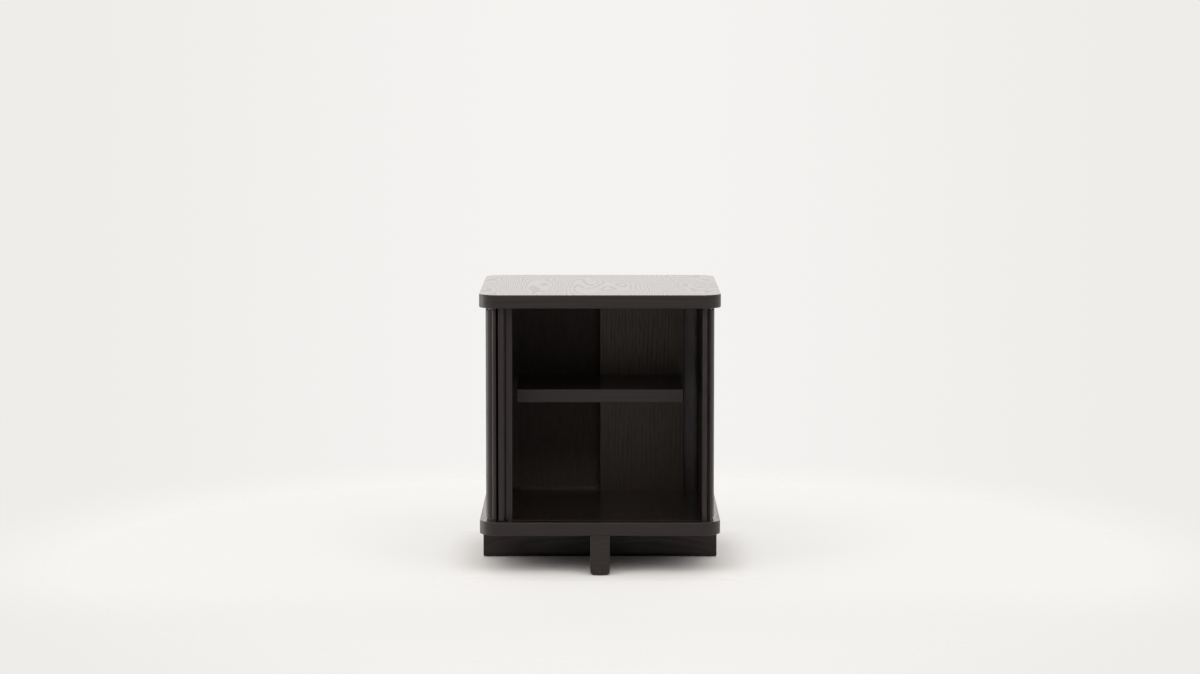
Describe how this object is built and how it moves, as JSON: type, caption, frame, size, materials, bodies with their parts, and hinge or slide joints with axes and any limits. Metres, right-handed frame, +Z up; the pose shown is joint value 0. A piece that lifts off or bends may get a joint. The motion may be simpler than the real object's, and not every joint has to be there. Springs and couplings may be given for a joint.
{
  "type": "storage side table",
  "caption": "Square side table with a reeded cabinet, a sliding tambour door drawn from the left, an open shelf inside and a crossed beam base.",
  "frame": {"origin": "on the floor, in the middle of the footprint", "axes": "+Z up, the open front faces -Y, +X to the right as seen from the front"},
  "size_m": [0.4572, 0.4572, 0.5334],
  "materials": {
    "stained_wood": "black-brown stained open-grain hardwood under a satin lacquer",
    "reeded_wood": "reeded hardwood, stained black-brown, satin lacquer",
    "door_wood": "solid hardwood, stained black-brown, satin lacquer",
    "dowel_wood": "plain beech",
    "canvas": "black woven cotton canvas",
    "track_plastic": "black extruded track",
    "glide_plastic": "black nylon glide",
    "zinc_steel": "zinc plated",
    "insert_brass": "turned brass"
  },
  "bodies": {
    "cabinet": {"top_board": "stained_wood", "base_board": "stained_wood", "base_beam_front_back": "stained_wood", "base_beam_left_right": "stained_wood", "floor_glides": "glide_plastic", "base_bolts": "zinc_steel", "threaded_inserts": "insert_brass", "side_panel_left": "reeded_wood", "side_panel_right": "reeded_wood", "back_panel": "reeded_wood", "corner_post_front_left": "reeded_wood", "corner_post_front_right": "reeded_wood", "corner_post_back_left": "reeded_wood", "corner_post_back_right": "reeded_wood", "closing_jamb_panel": "stained_wood", "inner_back_panel": "stained_wood", "shelf": "stained_wood", "shelf_dowels": "dowel_wood", "shelf_screws": "zinc_steel", "inner_panel_dowels": "dowel_wood", "jamb_panel_dowels": "dowel_wood", "shell_dowels_bottom": "dowel_wood", "shell_dowels_top": "dowel_wood", "rear_guide_strip": "stained_wood", "bottom_track": "track_plastic", "top_track": "track_plastic", "tambour_slats": "reeded_wood", "tambour_canvas": "canvas", "curtain_front_span": "reeded_wood"},
    "door": {"door_stile": "door_wood", "door_pull_lip": "door_wood", "door_guide_pins": "zinc_steel", "canvas_clamp_batten": "door_wood", "batten_screws": "zinc_steel"}
  },
  "joints": [
    {"name": "door_slide", "type": "slide", "parent": "cabinet", "child": "door", "axis": [1, 0, 0], "range_m": [0, 0.358], "deforming": ["curtain_front_span"]}
  ]
}
